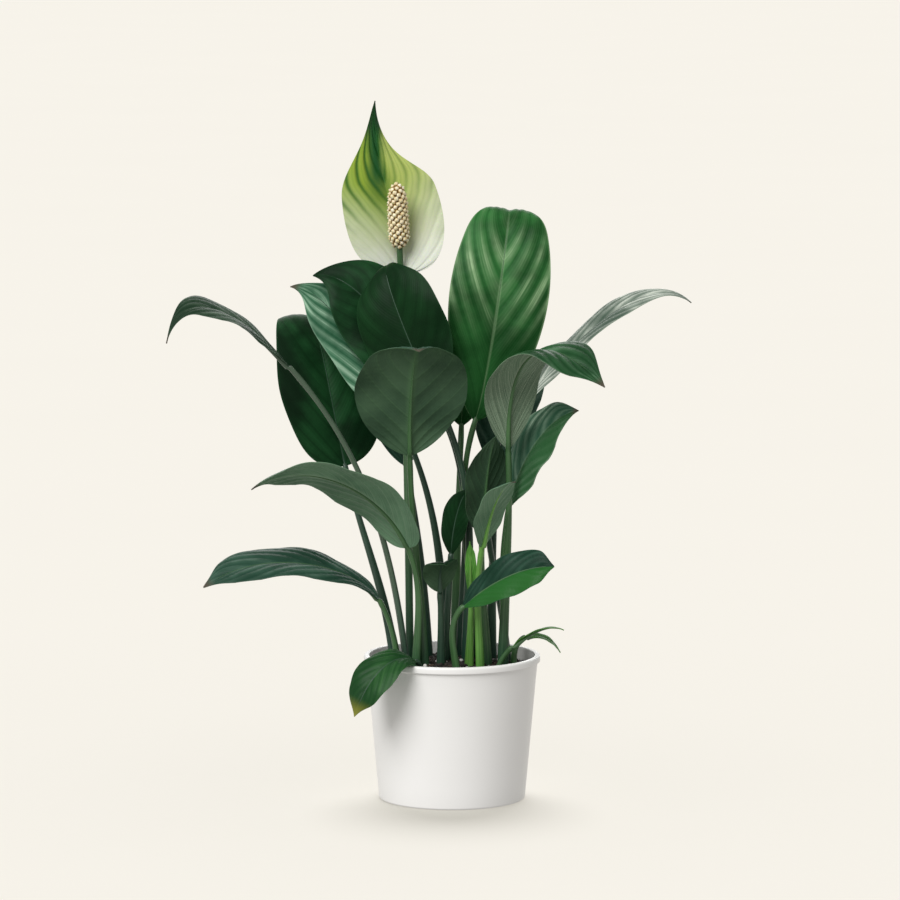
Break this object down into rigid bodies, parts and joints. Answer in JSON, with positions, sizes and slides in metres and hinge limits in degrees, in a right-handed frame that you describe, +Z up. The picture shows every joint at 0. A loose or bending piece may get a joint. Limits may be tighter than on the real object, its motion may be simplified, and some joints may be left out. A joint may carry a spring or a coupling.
{
  "type": "potted peace lily",
  "caption": "Peace lily with arching glossy leaves and one pale bloom on a tall stalk, rooted in dark soil in a plain white tapered pot.",
  "frame": {"origin": "middle of the pot's underside, on the surface that it stands on", "axes": "+Z up along the pot's axis, -Y towards the viewer of the picture, +X to the viewer's right"},
  "size_m": [0.384, 0.2447, 0.5111],
  "materials": {
    "pot": "smooth satin white moulded plastic",
    "soil": "loose dark peat and bark mix with a few white perlite grains",
    "leaf": "waxy dark green with sunken side veins, paler and duller underneath",
    "young_leaf": "smooth bright green of new growth",
    "stalk": "smooth mid green",
    "spathe": "soft greenish white with green veins that darken towards the tip",
    "spadix": "cream, covered in small packed florets"
  },
  "bodies": {
    "root": {"pot": "pot", "soil": "soil", "flower_stalk": "stalk", "spathe": "spathe", "spadix": "spadix", "leaf_lower_left": "leaf", "leaf_far_left": "leaf", "leaf_mid_left": "leaf", "leaf_back_left": "leaf", "leaf_upper_left": "leaf", "leaf_top_left": "leaf", "leaf_top_centre": "leaf", "leaf_front_centre": "leaf", "leaf_top_right": "leaf", "leaf_bent_right": "leaf", "leaf_far_right": "leaf", "leaf_mid_right": "leaf", "leaf_small_front": "leaf", "leaf_small_middle": "leaf", "leaf_small_back": "leaf", "leaf_lower_right": "leaf", "leaf_low_centre": "leaf", "leaf_over_rim": "leaf", "leaf_rear_left": "leaf", "leaf_rear": "leaf", "leaf_rear_right": "leaf", "shoot_right": "young_leaf", "shoot_right_low": "young_leaf", "shoot_spear": "young_leaf"}
  },
  "joints": []
}
